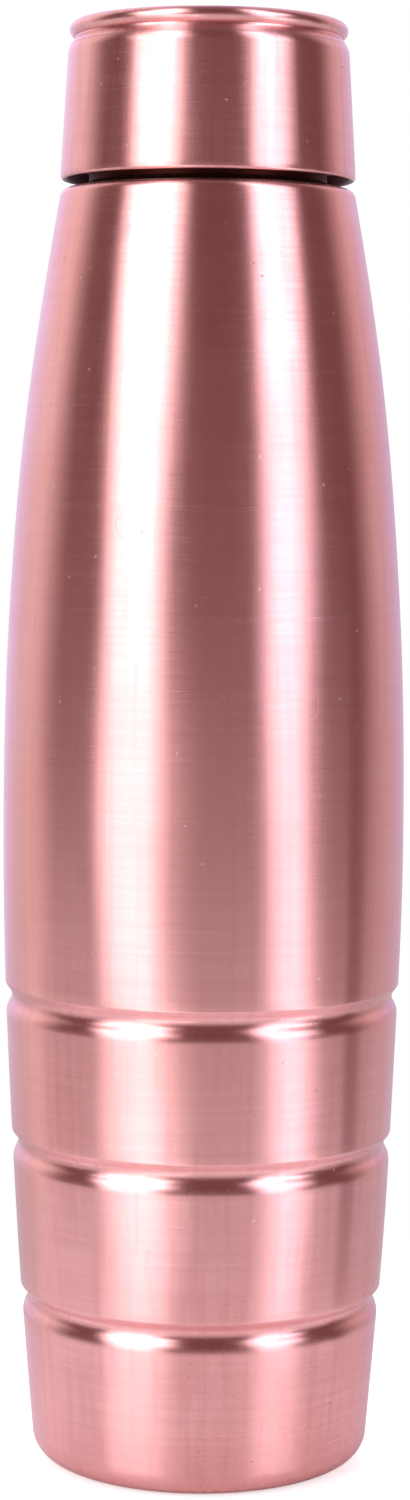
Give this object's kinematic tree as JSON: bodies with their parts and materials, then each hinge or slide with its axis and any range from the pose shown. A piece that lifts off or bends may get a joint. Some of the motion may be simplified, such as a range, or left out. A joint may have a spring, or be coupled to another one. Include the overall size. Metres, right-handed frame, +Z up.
{
  "type": "copper water bottle",
  "caption": "Tall barrel-shaped copper water bottle with rolled grooves round its lower half and a tapered copper screw cap that turns, rises on its thread and lifts off.",
  "frame": {"origin": "the middle of the foot, on the plane that the bottle stands on", "axes": "+Z up along the bottle's axis of revolution, towards the cap; +X and +Y are radial, with the start of the neck's thread on +X"},
  "size_m": [0.075, 0.075, 0.2686],
  "materials": {
    "copper_body": "pure copper, brushed round the barrel and polished, bare",
    "copper_base": "pure copper, lightly brushed",
    "brazing": "brazing metal, satin, as it ran",
    "copper_neck": "pure copper, turned and brushed",
    "silicone": "food-grade silicone, matt, milky white",
    "copper_liner": "pure copper, lightly brushed",
    "copper_cap": "pure copper, brushed round the sleeve and polished, bare",
    "copper_thread_ring": "pure copper, pressed thread, satin",
    "solder": "tin solder, satin, as it ran"
  },
  "bodies": {
    "bottle": {"body_shell": "copper_body", "base_disc": "copper_base", "base_braze": "brazing", "neck_collar": "copper_neck", "neck_braze": "brazing"},
    "seal": {"seal_ring": "silicone"},
    "liner": {"liner_disc": "copper_liner"},
    "cap": {"cap_shell": "copper_cap", "cap_top": "copper_cap", "cap_thread_ring": "copper_thread_ring", "cap_solder": "solder"}
  },
  "joints": [
    {"name": "cap_lift", "type": "slide", "parent": "bottle", "child": "seal", "axis": [0, 0, 1], "range_m": [0, 0.06]},
    {"name": "thread_rise", "type": "slide", "parent": "seal", "child": "liner", "axis": [0, 0, 1], "range_m": [0, 0.0081]},
    {"name": "cap_turn", "type": "hinge", "parent": "liner", "child": "cap", "pos_m": [0, 0, 0.2518], "axis": [0, 0, 1], "range_deg": [0, 720]}
  ],
  "couplings": [
    {"joint": "thread_rise", "follows": "cap_turn", "m_per_rad": 0.00063662}
  ]
}
